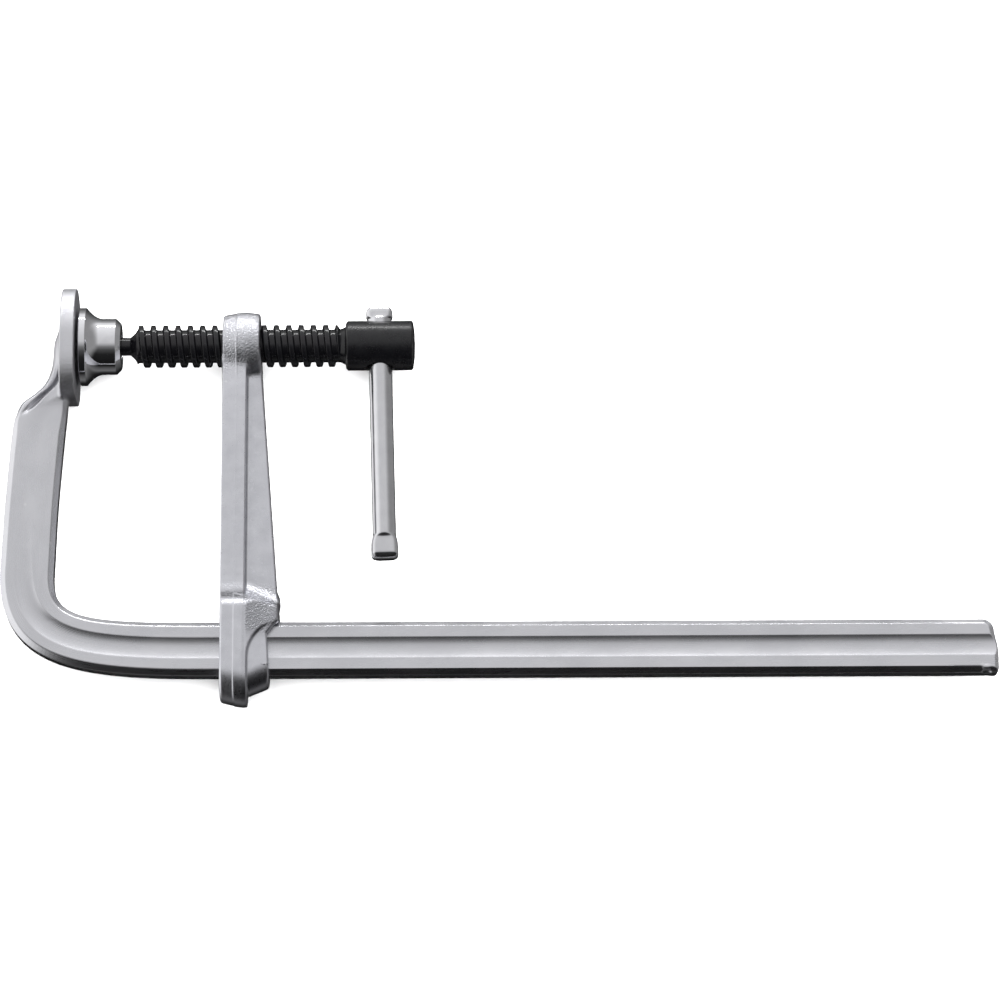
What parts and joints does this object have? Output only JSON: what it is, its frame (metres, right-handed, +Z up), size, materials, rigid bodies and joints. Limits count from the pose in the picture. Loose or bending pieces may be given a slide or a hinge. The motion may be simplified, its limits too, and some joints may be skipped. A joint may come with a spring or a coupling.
{
  "type": "f clamp",
  "caption": "All-steel f clamp: bent grooved bar with an oval forged jaw, sliding forged arm, black screw with head and cross rod, and a swivelling pressure pad.",
  "frame": {"origin": "on the floor under the middle of the clamp's bounding box, with the clamp lying flat", "axes": "+X along the bar towards its free end, +Y from the bar towards the screw, +Z up through the clamp's thickness"},
  "size_m": [0.399, 0.175, 0.039],
  "materials": {
    "bow_steel": "zinc-plated drawn steel, satin",
    "forged_arm_steel": "zinc-plated forging, fine grained satin",
    "black_oxide_steel": "black oxide, semi-gloss",
    "rod_steel": "plated rod, satin",
    "bright_pad_steel": "turned and bright plated",
    "ring_steel": "spring steel"
  },
  "bodies": {
    "bow": {"bow": "bow_steel"},
    "sliding_arm": {"sliding_arm": "forged_arm_steel"},
    "screw_carrier": {"retaining_ring": "ring_steel"},
    "screw": {"spindle": "black_oxide_steel"},
    "tommy_bar": {"tommy_bar": "rod_steel"},
    "pressure_pad": {"pressure_pad": "bright_pad_steel"}
  },
  "joints": [
    {"name": "arm_slide", "type": "slide", "parent": "bow", "child": "sliding_arm", "axis": [1, 0, 0], "range_m": [0, 0.282]},
    {"name": "screw_travel", "type": "slide", "parent": "sliding_arm", "child": "screw_carrier", "axis": [1, 0, 0], "range_m": [0, 0.0401]},
    {"name": "screw_turn", "type": "hinge", "parent": "screw_carrier", "child": "screw", "pos_m": [-0.1705, 0.06335, 0.0195], "axis": [1, 0, 0], "range_deg": [0, 2880]},
    {"name": "tommy_slide", "type": "slide", "parent": "screw", "child": "tommy_bar", "axis": [-0.0244, 0.9997, 0], "range_m": [0, 0.07]},
    {"name": "pad_tilt", "type": "hinge", "parent": "screw_carrier", "child": "pressure_pad", "pos_m": [-0.1607, 0.06335, 0.0195], "axis": [0, 0, 1], "range_deg": [-3.2, 3.2]}
  ],
  "couplings": [
    {"joint": "screw_travel", "follows": "screw_turn", "m_per_rad": 0.00079577}
  ]
}
